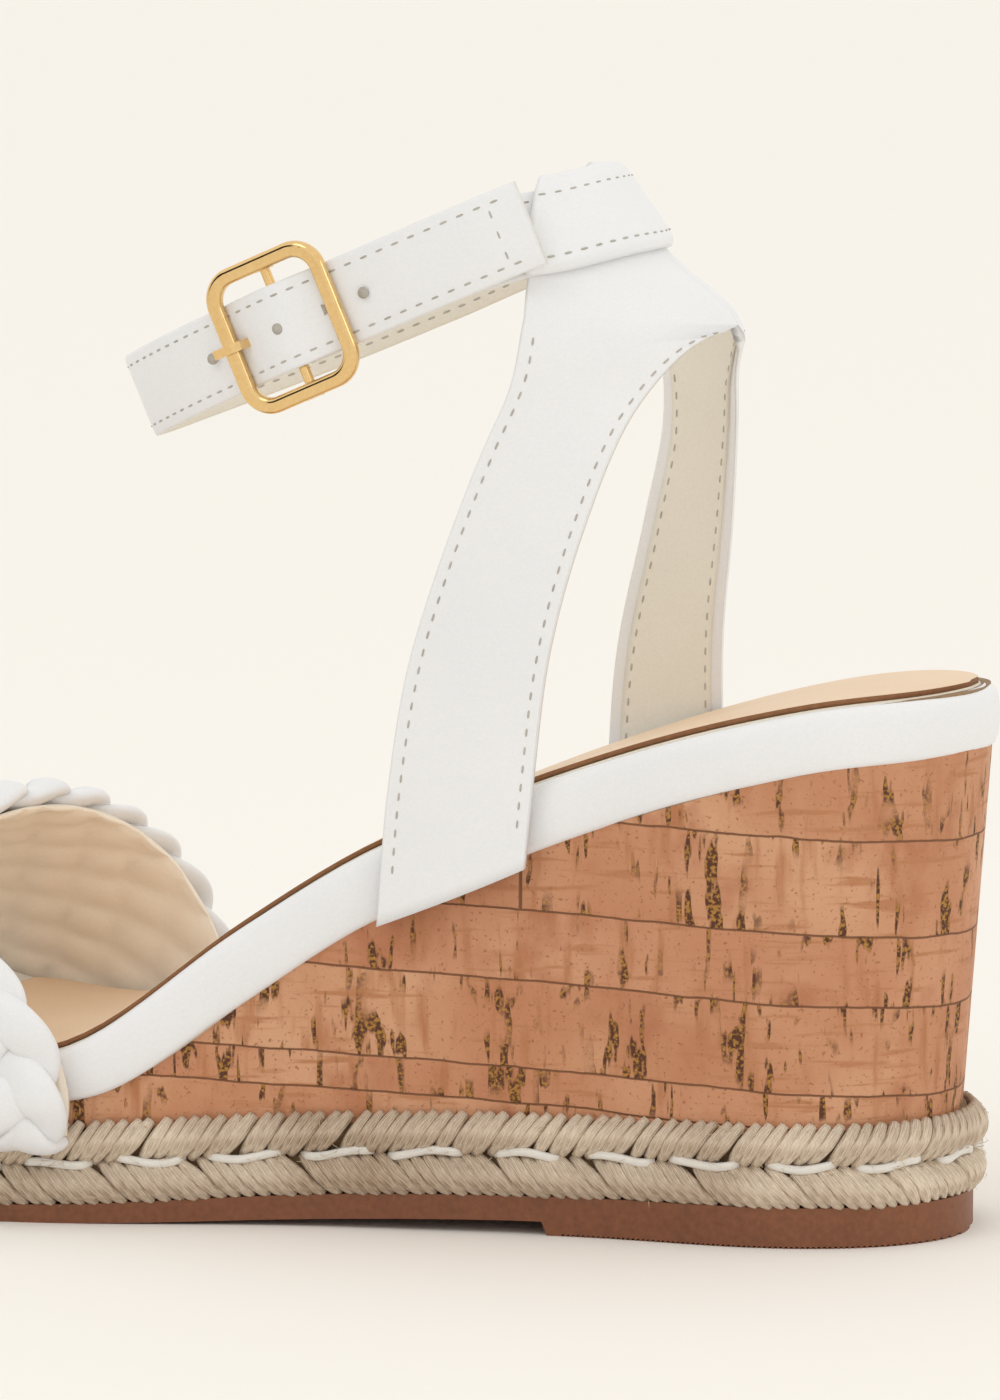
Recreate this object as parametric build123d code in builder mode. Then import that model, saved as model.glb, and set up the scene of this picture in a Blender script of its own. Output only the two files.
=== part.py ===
from build123d import *
from math import cos, radians, sin
import os

# A left wedge sandal, in millimetres. The toe points to -X, the outer (lateral) side to -Y and +Z is up.
# The origin is on the ground, under the middle of the heel pad.

# ---- Sole and wedge ----
HEEL_BACK = 38.2        # X of the platform's back end
TOE_END = -202.0        # X of the platform's front end
PAD_HEIGHT = 2.4        # raised heel pad under the sole
PAD_FRONT = -33.0
SOLE_SHIFT = 3.0        # the sole's back end stands this far in front of the platform's
SOLE_INSET = 0.2
GROOVE_PITCH = 0.9      # ribs of the heel pad's tread
GROOVE_DEPTH = 0.35
ROPE_HEIGHT = 14.2      # both rows of the jute rand
ROPE_SHIFT = 2.6
ROPE_PROUD = 1.2        # how far the rand stands out past the platform's plan
CORK_THICKNESS = 1.2
STITCH_LENGTH = 11.0    # white running stitch along the rand
STITCH_GAP = 4.0
STITCH_WIDTH = 1.4
STITCH_THICKNESS = 0.8

# ---- Platform and sock ----
COVER = 1.0             # leather round the platform
BOARD = 1.6
PADDING = 0.8
SOCK = 1.0
SOCK_INSET = 3.2
SOCK_FRONT = -147.0     # the sock ends here, under the vamp's front edge

# ---- Quarter, tunnel and ankle strap ----
LINING = 0.8
LEATHER = 0.9
STRAP_WIDTH = 15.0
STRAP_THICKNESS = 1.6
STRAP_TILT = 23.0       # the strap's ring drops towards the front
SWING_X = -48.0         # the ring swings about this line
SWING_Z = 169.3
MOUTH_X = -37.8         # front mouths of the tunnel
GAP = 0.3               # clearance between pieces that move apart

# ---- Buckle, along and across the strap ----
BUCKLE_LENGTH = 24.5
BUCKLE_WIDTH = 26.5
BAR = 2.8
BAR_LOW = 1.5           # underside of the frame over the strap's middle line
BAR_HIGH = 3.7
CENTRE_BAR_LIFT = 0.9
CENTRE_BAR_RADIUS = 0.9
PIN_CLEARANCE = 0.06
PRONG_WIDTH = 1.6

# ---- Vamp ----
PLAIT = 4.5
VAMP_LINING = 1.2
VAMP_CREST_X = -137.0   # top of the vamp's rear edge
VAMP_CREST_Z = 72.5
VAMP_DROP = 0.357       # fall of the crest per millimetre towards the toe
VAMP_HALF = 47.5
VAMP_Y = -2.2
VAMP_FOOT = 18.2        # the ends reach down beside the platform to here
VAMP_SPRING = 27.0      # height where the sides start to curve in

# ---- Heights along the foot: (X, Z) ----
PLATFORM_TOP = [(44, 94.6), (11, 91.3), (-24, 81.8), (-63, 65.9), (-87, 51), (-110, 33.4), (-123, 28.4),
                (-145, 29.3), (-208, 37)]
PLATFORM_BOTTOM = [(44, 84.9), (11, 81.2), (-24, 71), (-64, 53.5), (-87, 38.2), (-103, 26.4), (-112, 22.2),
                   (-126, 20.9), (-148, 21.9), (-208, 29.3)]
SOLE_TOP = [(44, 7), (-33, 6.8), (-67, 6.0), (-110, 3.6), (-135, 3.1), (-165, 5.4), (-208, 11.8)]
SOLE_BOTTOM = [(PAD_FRONT - 1, PAD_HEIGHT), (-60, 1.9), (-106, 0.2), (-120, 0), (-134, 0.2), (-165, 2.4),
               (-208, 8.8)]

# ---- Plan of the platform, from the heel along the lateral side and back along the medial side ----
LATERAL = [(30, -20), (9, -29.2), (-22, -28.6), (-52, -30), (-82, -33.2), (-115, -41), (-142, -43.3),
           (-172, -37.5), (-193, -20)]
MEDIAL = [(-195, 25), (-174, 36), (-142, 38.6), (-112, 34), (-77, 28.2), (-42, 27.4), (9, 28.5), (30, 20)]

PLAN_STEPS = 48

os.makedirs("parts", exist_ok=True)


def finish(piece, label):
    """Name a finished piece and write it."""
    piece.part.label = label
    export_step(piece.part, "parts/" + label + ".step")


def plan_points(heel_shift=0.0, grow=0.0):
    """Points round the platform's plan, grown by grow, with the back end moved forward by heel_shift."""
    corners = [(HEEL_BACK, 0), *LATERAL, (TOE_END, 6), *MEDIAL]
    with BuildLine() as outline:
        Spline(*[(x - heel_shift * max(0, (x - 9) / (HEEL_BACK - 9)), y) for x, y in corners], periodic=True)
    wire = outline.wires()[0]
    places = [number / PLAN_STEPS for number in range(PLAN_STEPS)]
    return [wire @ place + Vector(0, 0, 1).cross(wire % place) * grow for place in places]


def plan_block(grow, heel_shift=0.0, low=-1.0, high=110.0, lean_grow=0.0, lean_shift=0.0):
    """Upright block with the platform's plan grown by grow; its foot is grown by lean_grow more."""
    foot = plan_points(heel_shift + lean_shift, grow + lean_grow)
    head = plan_points(heel_shift, grow)
    with BuildPart() as block:
        for height, points in ((low, foot), (high, head)):
            with BuildSketch(Plane.XY.offset(height)):
                with BuildLine():
                    Spline(*points, periodic=True)
                make_face()
        loft(ruled=True)
    return block.part


def layer(lower, upper, low_offset=0.0, high_offset=0.0):
    """Slab wider than the foot, between two height curves that are each moved up by an offset."""
    with BuildPart() as slab:
        with BuildSketch(Plane.XZ):
            with BuildLine():
                base = Spline(*[(x, z + low_offset) for x, z in lower])
                roof = Spline(*[(x, z + high_offset) for x, z in upper])
                Line(base @ 0, roof @ 0)
                Line(base @ 1, roof @ 1)
            make_face()
        extrude(amount=70, both=True)
    return slab.part


# ---- Outsole: a rubber sheet with a ribbed pad under the heel ----
sole_plan = plan_block(-SOLE_INSET, SOLE_SHIFT)
with BuildPart() as outsole:
    with BuildSketch(Plane.XZ):
        with BuildLine():
            tread = Spline(*SOLE_BOTTOM)
            roof = Spline(*SOLE_TOP)
            Line(tread @ 1, roof @ 1)
            Polyline(roof @ 0, (SOLE_TOP[0][0], 0), (PAD_FRONT, 0), tread @ 0)
        make_face()
    extrude(amount=70, both=True)
    add(sole_plan, mode=Mode.INTERSECT)
    rib_count = int((HEEL_BACK - PAD_FRONT) / GROOVE_PITCH) - 6
    with Locations((GROOVE_PITCH * 2.5, 0, 0)):
        with GridLocations(GROOVE_PITCH, 1, rib_count, 1):
            Box(GROOVE_PITCH / 2, 100, 2 * GROOVE_DEPTH, mode=Mode.SUBTRACT)
finish(outsole, "outsole")

# ---- Wedge: a light core with cork veneer round it, leaning in towards the ground ----
cork_outside = plan_block(-0.1, 0.1, 0.0, 90.0, -1.6, 4.85)
cork_inside = plan_block(-0.1 - CORK_THICKNESS, 0.1, 0.0, 90.0, -1.6, 4.85)
wedge_slab = layer(SOLE_TOP, PLATFORM_BOTTOM)
with BuildPart() as wedge_core:
    add(wedge_slab)
    add(cork_inside, mode=Mode.INTERSECT)
finish(wedge_core, "wedge_core")

cork_slab = layer(SOLE_TOP, PLATFORM_BOTTOM, ROPE_HEIGHT - 2)
with BuildPart() as cork_wrap:
    add(cork_slab)
    add(cork_outside, mode=Mode.INTERSECT)
    add(cork_inside, mode=Mode.SUBTRACT)
finish(cork_wrap, "cork_wrap")

# ---- Jute rand: two rows of rope round the foot of the wedge ----
rope_outside = plan_block(ROPE_PROUD, ROPE_SHIFT)
for label, low, high, inside in (("jute_rope_lower", 0, ROPE_HEIGHT / 2, cork_inside),
                                 ("jute_rope_upper", ROPE_HEIGHT / 2, ROPE_HEIGHT, cork_outside)):
    rope_slab = layer(SOLE_TOP, SOLE_TOP, low, high)
    with BuildPart() as rope:
        add(rope_slab)
        add(rope_outside, mode=Mode.INTERSECT)
        add(inside, mode=Mode.SUBTRACT)
    finish(rope, label)

# ---- Running stitch: flat thread dashes on the seam between the two rows ----
stitch_slab = layer(SOLE_TOP, SOLE_TOP, (ROPE_HEIGHT - STITCH_WIDTH) / 2, (ROPE_HEIGHT + STITCH_WIDTH) / 2)
stitch_outside = plan_block(ROPE_PROUD + STITCH_THICKNESS, ROPE_SHIFT)
seam_points = plan_points(ROPE_SHIFT, ROPE_PROUD)
with BuildLine() as seam:
    Spline(*seam_points, periodic=True)
seam_wire = seam.wires()[0]
stitch_count = int(seam_wire.length / (STITCH_LENGTH + STITCH_GAP))
with BuildPart() as rope_stitches:
    add(stitch_slab)
    add(stitch_outside, mode=Mode.INTERSECT)
    add(rope_outside, mode=Mode.SUBTRACT)
    for number in range(stitch_count):
        with Locations(seam_wire @ (number / stitch_count)):
            Cylinder(STITCH_GAP / 2, 60, mode=Mode.SUBTRACT)
finish(rope_stitches, "rope_stitches")

# ---- Platform: foam core and fibre board, wrapped in leather, with the sock on top ----
platform_outside = plan_block(0)
platform_inside = plan_block(-COVER)
platform_slab = layer(PLATFORM_BOTTOM, PLATFORM_TOP)
foam_slab = layer(PLATFORM_BOTTOM, PLATFORM_TOP, 0, -BOARD)
board_slab = layer(PLATFORM_TOP, PLATFORM_TOP, -BOARD, 0)
with BuildPart() as platform_core:
    add(foam_slab)
    add(platform_inside, mode=Mode.INTERSECT)
finish(platform_core, "platform_core")

with BuildPart() as platform_wrap:
    add(platform_slab)
    add(platform_outside, mode=Mode.INTERSECT)
    add(platform_inside, mode=Mode.SUBTRACT)
finish(platform_wrap, "platform_wrap")

with BuildPart() as insole_board:
    add(board_slab)
    add(platform_inside, mode=Mode.INTERSECT)
finish(insole_board, "insole_board")

sock_plan = plan_block(-SOCK_INSET)
for label, low, high in (("sock_padding", 0, PADDING), ("sock_lining", PADDING, PADDING + SOCK)):
    sheet_slab = layer(PLATFORM_TOP, PLATFORM_TOP, low, high)
    with BuildPart() as sheet:
        add(sheet_slab)
        add(sock_plan, mode=Mode.INTERSECT)
        with Locations((SOCK_FRONT - 200, 0, 50)):
            Box(400, 200, 300, mode=Mode.SUBTRACT)
    finish(sheet, label)

toe_slab = layer(PLATFORM_TOP, PLATFORM_TOP, 0, COVER)
with BuildPart() as toe_cover:
    add(toe_slab)
    add(platform_outside, mode=Mode.INTERSECT)
    with Locations((SOCK_FRONT - GAP + 200, 0, 50)):
        Box(400, 200, 300, mode=Mode.SUBTRACT)
finish(toe_cover, "toe_cover")

# ---- Ankle form: the surface that the quarter and the tunnel lie on ----
# Each section is an ellipse: height, X of its centre, half length, half width.
ANKLE = [(46, -48, 110, 32.5), (100, -48, 62, 30), (143, -47, 40.3, 28.3), (157, -47, 37.3, 27.4),
         (168, -50, 27.5, 25), (183, -54, 20, 20.5), (192, -56, 16, 18)]


def ankle_form(grow):
    """Solid inside the ankle surface, grown by grow."""
    with BuildPart() as form:
        for height, middle, length, width in ANKLE:
            with BuildSketch(Plane.XY.offset(height)):
                with Locations((middle, -1 + (height - 46) / 137)):
                    Ellipse(length + grow, width + grow)
        loft(ruled=True)
    return form.part


def side_outline(front, rear, top, toward):
    """Slab with a side view outline, from the middle of the foot towards one side."""
    with BuildPart() as slab:
        with BuildSketch(Plane.XZ):
            with BuildLine():
                first = Spline(*front)
                second = Spline(*rear)
                Line(first @ 0, second @ 0)
                Polyline(first @ 1, *top, second @ 1)
            make_face()
        extrude(amount=60 * toward)
    return slab.part


# From the platform up: the front edge, then the rear edge that turns into the arch over the heel.
LATERAL_FRONT = [(-64.4, 51), (-60.8, 76), (-57.3, 97), (-52, 115), (-44.9, 134), (-39.7, 146.5), (-37.8, 158)]
LATERAL_REAR = [(-35.9, 64), (-34.6, 81), (-32.4, 101), (-27.2, 122), (-19.4, 142.7), (-10.7, 153.6),
                (-6.5, 155.6), (2, 157.4)]
MEDIAL_FRONT = [(-38.9, 64), (-36.5, 95), (-31.1, 119), (-27, 138), (-28, 152), (-33, 163), (-37.8, 168)]
MEDIAL_REAR = [(-16.8, 70), (-16.4, 98), (-13.9, 118), (-11.5, 138), (-9.5, 150),
               (-6.5, 155.6), (2, 157.4)]
TOP_LINE = [(-37.8, 181.6), (-20, 184.8), (2, 184.8)]

lateral_leg = side_outline(LATERAL_FRONT, LATERAL_REAR, TOP_LINE, 1)
medial_leg = side_outline(MEDIAL_FRONT, MEDIAL_REAR, TOP_LINE, -1)
form_inside = ankle_form(0)
form_lined = ankle_form(LINING)
form_leather = ankle_form(LINING + LEATHER)
above_platform = layer(PLATFORM_TOP, [(44, 200), (-24, 200), (-208, 200)], PADDING + SOCK + GAP)
with BuildPart() as legs:
    add(lateral_leg)
    add(medial_leg)

with BuildPart() as quarter_lining:
    add(form_lined)
    add(form_inside, mode=Mode.SUBTRACT)
    add(legs.part, mode=Mode.INTERSECT)
    add(above_platform, mode=Mode.INTERSECT)
finish(quarter_lining, "quarter_lining")

with BuildPart() as quarter_outer:
    add(form_leather)
    add(form_lined, mode=Mode.SUBTRACT)
    add(legs.part, mode=Mode.INTERSECT)
finish(quarter_outer, "quarter_outer")

# ---- Tunnel: the quarter's top turned outwards over the strap and stitched down ----
STRAP_INSIDE = LINING + LEATHER + 0.2           # the strap in the tunnel, as grown from the ankle form
STRAP_OUTSIDE = STRAP_INSIDE + STRAP_THICKNESS
FLAP_INSIDE = STRAP_OUTSIDE + 0.2
FLAP_OUTSIDE = FLAP_INSIDE + LEATHER
FOLD_LINE = [(MOUTH_X, 165.4), (-24, 169.6), (2, 170)]
form_strap_inside = ankle_form(STRAP_INSIDE)
form_strap_outside = ankle_form(STRAP_OUTSIDE)
form_flap_inside = ankle_form(FLAP_INSIDE)
form_flap_outside = ankle_form(FLAP_OUTSIDE)


def tunnel_band(bottom, top):
    """Slab across the foot behind the tunnel's mouths, between the fold line and the top line, moved."""
    with BuildPart() as band:
        with BuildSketch(Plane.XZ):
            with BuildLine():
                Polyline(*[(x, z + bottom) for x, z in FOLD_LINE], *[(x, z + top) for x, z in TOP_LINE[::-1]],
                         close=True)
            make_face()
        extrude(amount=60, both=True)
    return band.part


flap_band = tunnel_band(0, LEATHER)
hollow_band = tunnel_band(1.2, 0)
with BuildPart() as flap_hollow:
    add(form_flap_inside)
    add(hollow_band, mode=Mode.INTERSECT)
with BuildPart() as tunnel_cuff:
    add(form_flap_outside)
    add(form_leather, mode=Mode.SUBTRACT)
    add(flap_band, mode=Mode.INTERSECT)
    add(flap_hollow.part, mode=Mode.SUBTRACT)
finish(tunnel_cuff, "tunnel_cuff")

# ---- Ankle strap: from the buckle's centre bar, through the tunnel, round the ankle and into the buckle ----
STRAP_LOW_LINE = [(SWING_X, 162.4), (MOUTH_X, 166.9), (-24, 171.1), (2, 171.5)]
STRAP_TOP_LINE = [(2, 184.4), (-20, 184.4), (MOUTH_X, 181.2), (SWING_X, 176.2)]
with BuildPart() as strap_rear:
    add(form_strap_outside)
    add(form_strap_inside, mode=Mode.SUBTRACT)
    with BuildSketch(Plane.XZ):
        with BuildLine():
            Polyline(*STRAP_LOW_LINE, *STRAP_TOP_LINE, close=True)
        make_face()
        with Locations((SWING_X, SWING_Z)):
            Circle(STRAP_WIDTH / 2 + GAP, mode=Mode.SUBTRACT)
    extrude(amount=60, both=True, mode=Mode.INTERSECT)
finish(strap_rear, "strap_rear")

tilt = radians(STRAP_TILT)
STRAP_PLANE = Plane(origin=(SWING_X, 0, SWING_Z), x_dir=(cos(tilt), 0, sin(tilt)),
                    z_dir=(-sin(tilt), 0, cos(tilt)))
BUCKLE_AT = Vector(-35.3, -24.8)                # on the strap's middle line, in the strap's plane
BUCKLE_ALONG = Vector(0.979, -0.204)
BUCKLE_OUT = Vector(-0.204, -0.979)


def at_buckle(along, out):
    """Point of the strap's plane, along the strap and outwards from the buckle's middle."""
    place = BUCKLE_AT + BUCKLE_ALONG * along + BUCKLE_OUT * out
    return (place.X, place.Y)


LOOP = [(STRAP_WIDTH / 2, 24.6), (-1, 26.2), (-22, 27.8), (-45, 23.5), (-63, 12), (-72.5, 0), (-66, -9),
        (-57, -16.5), at_buckle(-12, 0), at_buckle(-6, 2.1), at_buckle(0, 3.8), at_buckle(6, 2.1),
        at_buckle(12, 0), (-16.6, -28.5)]
TAIL = [(-15.8, -28.65), (-6, -29.8), (4, -30.2), (12.7, -29.3)]
CHAPE = [at_buckle(1.2, 0), at_buckle(6, -1.7), at_buckle(12, -2.2), (-12, -26.6), (-1, -26.3),
         (STRAP_WIDTH / 2, -24.9)]
OUTER_SHARE = 0.9                               # of the strap's thickness is its white side
HOLE_PITCH = 8.2
HOLE_RADIUS = 1.0


def moved_out(points, amount):
    """Points of a path round the ankle, from its medial side by the front, moved outwards."""
    result = []
    for number, point in enumerate(points):
        before = Vector(*points[max(number - 1, 0)])
        after = Vector(*points[min(number + 1, len(points) - 1)])
        way = (after - before).normalized()
        result.append((point[0] + way.Y * amount, point[1] - way.X * amount))
    return result


def strap_run(points, thickness, width=STRAP_WIDTH):
    """Strap of a thickness along points of the strap's plane, with ends rounded about the swing line."""
    with BuildPart() as run:
        with BuildSketch(STRAP_PLANE.offset(-width / 2)):
            with BuildLine():
                Spline(*points)
            trace(line_width=thickness)
        extrude(amount=width)
        with BuildSketch(Plane.XZ):
            with Locations((SWING_X, SWING_Z)):
                Circle(STRAP_WIDTH / 2)
                Rectangle(120, 200, align=(Align.MAX, Align.CENTER))
        extrude(amount=60, both=True, mode=Mode.INTERSECT)
    return run.part


def buckle_box(first, last, half_width, low=-3.0, high=6.0):
    """Box on the buckle, between two places along the strap, wide enough to cut it through."""
    with BuildPart() as box:
        with BuildSketch(BUCKLE_PLANE.offset(low)):
            with Locations(((first + last) / 2, 0)):
                Rectangle(last - first, 2 * half_width)
        extrude(amount=high - low)
    return box.part


along_dir = STRAP_PLANE.x_dir * BUCKLE_ALONG.X + STRAP_PLANE.y_dir * BUCKLE_ALONG.Y
out_dir = STRAP_PLANE.x_dir * BUCKLE_OUT.X + STRAP_PLANE.y_dir * BUCKLE_OUT.Y
buckle_origin = STRAP_PLANE.origin + STRAP_PLANE.x_dir * BUCKLE_AT.X + STRAP_PLANE.y_dir * BUCKLE_AT.Y
BUCKLE_PLANE = Plane(origin=buckle_origin, x_dir=along_dir, z_dir=out_dir)
PRONG_PLANE = Plane(origin=buckle_origin, x_dir=along_dir * -1, z_dir=STRAP_PLANE.z_dir)

lining_share = STRAP_THICKNESS - OUTER_SHARE
outer_shift = (STRAP_THICKNESS - OUTER_SHARE) / 2
lining_shift = -OUTER_SHARE / 2
prong_slot = buckle_box(-10.2, -5.6, 1.4)
for label, thickness, shift in (("strap_loop", OUTER_SHARE, outer_shift),
                                ("strap_loop_lining", lining_share, lining_shift)):
    loop_run = strap_run(moved_out(LOOP, shift), thickness)
    with BuildPart() as loop:
        add(loop_run)
        add(prong_slot, mode=Mode.SUBTRACT)
        with BuildSketch(BUCKLE_PLANE):
            with Locations((-2 * HOLE_PITCH, 0), (0, 0), (HOLE_PITCH, 0)):
                Circle(HOLE_RADIUS)
        extrude(amount=8, both=True, mode=Mode.SUBTRACT)
    finish(loop, label)

for label, thickness, shift in (("strap_tail", OUTER_SHARE, outer_shift),
                                ("strap_tail_lining", lining_share, lining_shift)):
    with BuildPart() as tail:
        with BuildSketch(STRAP_PLANE.offset(-STRAP_WIDTH / 2)):
            with BuildLine():
                Spline(*moved_out(TAIL, shift))
            trace(line_width=thickness)
        extrude(amount=STRAP_WIDTH)
    finish(tail, label)

# The chape's two plies turn round the centre bar, with a slot for the prong.
chape_run = strap_run(CHAPE, STRAP_THICKNESS, STRAP_WIDTH - 1)
eye_bore = CENTRE_BAR_RADIUS + PIN_CLEARANCE
prong_gap = buckle_box(-4, 3.6, PRONG_WIDTH / 2 + GAP)
with BuildPart() as strap_chape:
    add(chape_run)
    with BuildSketch(PRONG_PLANE.offset(-STRAP_WIDTH / 2 + 0.5)):
        with Locations((0, CENTRE_BAR_LIFT)):
            Circle(eye_bore + STRAP_THICKNESS / 2)
    extrude(amount=STRAP_WIDTH - 1)
    with BuildSketch(PRONG_PLANE.offset(-STRAP_WIDTH / 2)):
        with Locations((0, CENTRE_BAR_LIFT)):
            Circle(eye_bore)
    extrude(amount=STRAP_WIDTH, mode=Mode.SUBTRACT)
    add(prong_gap, mode=Mode.SUBTRACT)
finish(strap_chape, "strap_chape")

# ---- Buckle: a rounded frame with a centre bar below it, and a prong that turns on the bar ----
side_middle = (BUCKLE_WIDTH - BAR) / 2
with BuildPart() as buckle_frame:
    with BuildSketch(BUCKLE_PLANE.offset(BAR_LOW)):
        RectangleRounded(BUCKLE_LENGTH, BUCKLE_WIDTH, 6)
        RectangleRounded(BUCKLE_LENGTH - 2 * BAR, BUCKLE_WIDTH - 2 * BAR, 3.4, mode=Mode.SUBTRACT)
    extrude(amount=BAR_HIGH - BAR_LOW)
    fillet(buckle_frame.edges().filter_by(BUCKLE_PLANE, reverse=False), 0.9)
    with BuildSketch(BUCKLE_PLANE.offset(CENTRE_BAR_LIFT - CENTRE_BAR_RADIUS)):
        with Locations((0, side_middle), (0, -side_middle)):
            Rectangle(BAR, BAR)
    extrude(amount=BAR_LOW + 0.5)
    with BuildSketch(PRONG_PLANE.offset(-side_middle)):
        with Locations((0, CENTRE_BAR_LIFT)):
            Circle(CENTRE_BAR_RADIUS)
    extrude(amount=2 * side_middle)
finish(buckle_frame, "buckle_frame")

# The shank runs under the strap, comes up through its hole and rests over the front bar.
SHANK = [(0.8, 0.2), (5.0, -0.8), (6.6, -0.5), (8.5, 4.1), (9.6, 4.8), (13.2, 4.7)]
with BuildPart() as buckle_prong:
    with BuildSketch(PRONG_PLANE.offset(-PRONG_WIDTH / 2)):
        with Locations((0, CENTRE_BAR_LIFT)):
            Circle(eye_bore + 0.9)
        with BuildLine():
            Polyline(*SHANK)
        trace(line_width=1.3)
        with Locations((0, CENTRE_BAR_LIFT)):
            Circle(eye_bore, mode=Mode.SUBTRACT)
    extrude(amount=PRONG_WIDTH)
finish(buckle_prong, "buckle_prong")

# ---- Vamp: a padded plait over a lining, arched across the platform and lasted down its sides ----
VAMP_REAR = [(-116, 14), (-114, 33), (-118, 52), (-127, 66), (-140, 82)]
VAMP_FRONT = [(-150, 14), (-149, 33), (-155, 50), (-178, 78)]


def vamp_form(shrink):
    """Solid under the vamp's arch, its surface moved in by shrink; its crest falls towards the toe."""
    start = -90.0
    lift = (start - VAMP_CREST_X) * VAMP_DROP
    with BuildPart() as form:
        with BuildSketch(Plane(origin=(start, VAMP_Y, lift), x_dir=(0, 1, 0), z_dir=(1, 0, 0))):
            with Locations((0, VAMP_SPRING)):
                Ellipse(VAMP_HALF - shrink, VAMP_CREST_Z - VAMP_SPRING - shrink)
            with Locations((0, VAMP_SPRING)):
                Rectangle(2 * (VAMP_HALF - shrink), 120, align=(Align.CENTER, Align.MAX))
        extrude(amount=120, dir=(-1, 0, -VAMP_DROP))
    return form.part


with BuildPart() as vamp_outline:
    with BuildSketch(Plane.XZ):
        with BuildLine():
            rear = Spline(*VAMP_REAR)
            front = Spline(*VAMP_FRONT)
            Line(rear @ 0, front @ 0)
            Line(rear @ 1, front @ 1)
        make_face()
        with Locations((-130, VAMP_FOOT)):
            Rectangle(200, 100, align=(Align.CENTER, Align.MAX), mode=Mode.SUBTRACT)
    extrude(amount=70, both=True)

vamp_outside = vamp_form(0)
vamp_between = vamp_form(PLAIT)
vamp_inside = vamp_form(PLAIT + VAMP_LINING)
for label, outside, inside in (("vamp_plait", vamp_outside, vamp_between),
                               ("vamp_lining", vamp_between, vamp_inside)):
    with BuildPart() as strip:
        add(outside)
        add(inside, mode=Mode.SUBTRACT)
        add(vamp_outline.part, mode=Mode.INTERSECT)
    finish(strip, label)
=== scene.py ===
import math
import random
import bpy
from mathutils import Matrix, Vector


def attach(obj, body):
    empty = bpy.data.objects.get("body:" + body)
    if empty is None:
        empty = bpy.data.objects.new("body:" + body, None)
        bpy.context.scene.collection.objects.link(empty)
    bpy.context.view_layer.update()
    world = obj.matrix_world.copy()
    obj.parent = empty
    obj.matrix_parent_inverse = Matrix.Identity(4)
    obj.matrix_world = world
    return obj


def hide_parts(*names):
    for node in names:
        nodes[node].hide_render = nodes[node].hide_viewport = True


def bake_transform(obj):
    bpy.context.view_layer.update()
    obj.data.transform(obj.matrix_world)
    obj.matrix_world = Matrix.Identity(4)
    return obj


# A left wedge sandal, in the row frame: toe to -X, outer side to -Y, up +Z, origin on the ground under
# the heel. Lengths in the sections are millimetres unless a name or comment says otherwise.
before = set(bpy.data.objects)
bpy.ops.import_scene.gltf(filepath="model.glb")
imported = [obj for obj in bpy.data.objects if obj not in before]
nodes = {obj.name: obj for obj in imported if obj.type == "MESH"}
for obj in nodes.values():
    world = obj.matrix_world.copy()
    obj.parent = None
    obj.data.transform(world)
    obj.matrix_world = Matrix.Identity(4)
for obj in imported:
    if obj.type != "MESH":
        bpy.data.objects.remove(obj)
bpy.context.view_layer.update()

# ---- Camera ----
# A long lens, a little above the sandal, square on to its outer side but turned slightly to the heel.
eye = Vector((0.3369, -1.3701, 0.2473))
aim_point = Vector((-0.0471, -0.0093, 0.0902))
CAMERA_ROLL = math.radians(0.21)
look = (aim_point - eye).normalized()
level = look.cross(Vector((0, 0, 1))).normalized()
rise = level.cross(look)
right = level * math.cos(CAMERA_ROLL) + rise * math.sin(CAMERA_ROLL)
upward = right.cross(look)
camera_data = bpy.data.cameras.new("camera")
camera_data.lens = 210.9
camera_data.sensor_width = 36
camera_data.clip_end = 300
camera = bpy.data.objects.new("camera", camera_data)
bpy.context.scene.collection.objects.link(camera)
camera.matrix_world = Matrix((
    (right.x, upward.x, -look.x, eye.x),
    (right.y, upward.y, -look.y, eye.y),
    (right.z, upward.z, -look.z, eye.z),
    (0, 0, 0, 1),
))
bpy.context.scene.camera = camera


# ---- Floor and soft studio light ----
# A pale warm sweep that runs on as the background, under a big soft overhead light.
def linear(red, green, blue):
    """Display colour from 0 to 255 as the shader's linear colour."""
    return tuple((value / 255) ** 2.2 for value in (red, green, blue)) + (1.0,)


def principled(name, colour, roughness, metallic=0.0):
    """New material with one principled shader, and that shader."""
    made = bpy.data.materials.new(name)
    made.use_nodes = True
    shader = made.node_tree.nodes["Principled BSDF"]
    shader.inputs["Base Color"].default_value = colour
    shader.inputs["Roughness"].default_value = roughness
    shader.inputs["Metallic"].default_value = metallic
    return made, shader


def stage_card(name, corners, colour):
    """Flat matt four-cornered sheet of the studio; corners in metres."""
    mesh = bpy.data.meshes.new(name)
    mesh.from_pydata(corners, [], [(0, 1, 2, 3)])
    mesh.materials.append(principled(name + "_paper", colour, 0.9)[0])
    sheet = bpy.data.objects.new(name, mesh)
    bpy.context.scene.collection.objects.link(sheet)


FLOOR_REACH = 80
stage_card("floor", [(-FLOOR_REACH, -FLOOR_REACH, 0), (FLOOR_REACH, -FLOOR_REACH, 0),
                     (FLOOR_REACH, FLOOR_REACH, 0), (-FLOOR_REACH, FLOOR_REACH, 0)], linear(247, 244, 238))

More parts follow.
